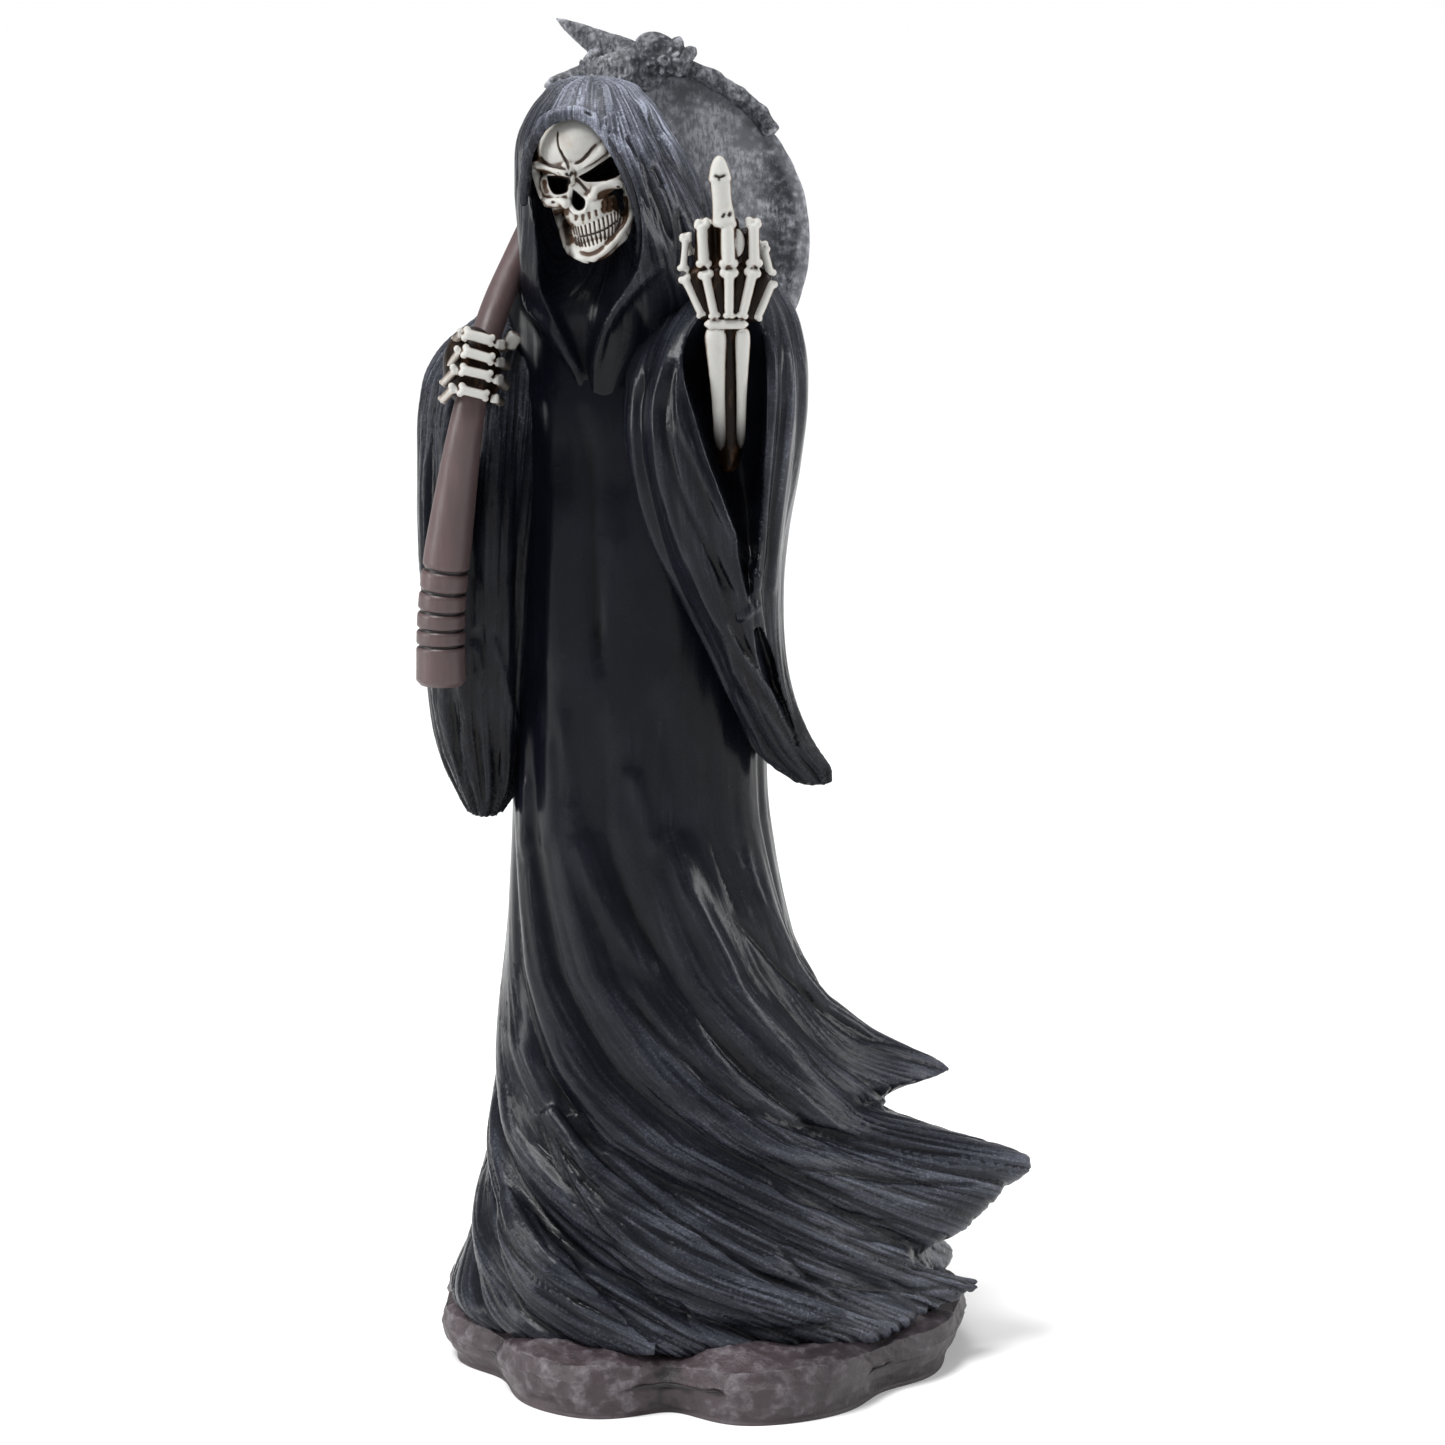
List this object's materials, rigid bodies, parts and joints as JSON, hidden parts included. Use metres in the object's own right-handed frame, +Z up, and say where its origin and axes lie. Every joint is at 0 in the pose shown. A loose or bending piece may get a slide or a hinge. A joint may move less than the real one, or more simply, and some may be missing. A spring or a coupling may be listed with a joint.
{
  "type": "grim reaper figurine",
  "caption": "Hooded skeleton figurine with a scythe over one shoulder and the other hand raised, cast in one piece with its flat-bottomed rock base.",
  "frame": {"origin": "middle of the rock base's flat underside", "axes": "+Z up along the figure's height, -Y the way the figure faces, +X towards its raised left hand"},
  "size_m": [0.1378, 0.1219, 0.2999],
  "materials": {
    "robe_paint": "satin black paint with grey dry-brushing",
    "bone_paint": "ivory paint with a brown wash",
    "shaft_paint": "satin dark brown paint",
    "blade_paint": "dark grey paint with mottled silver dry-brushing",
    "rock_paint": "purplish brown paint with grey dry-brushing"
  },
  "bodies": {
    "root": {"reaper_figurine": "robe_paint"}
  },
  "joints": []
}
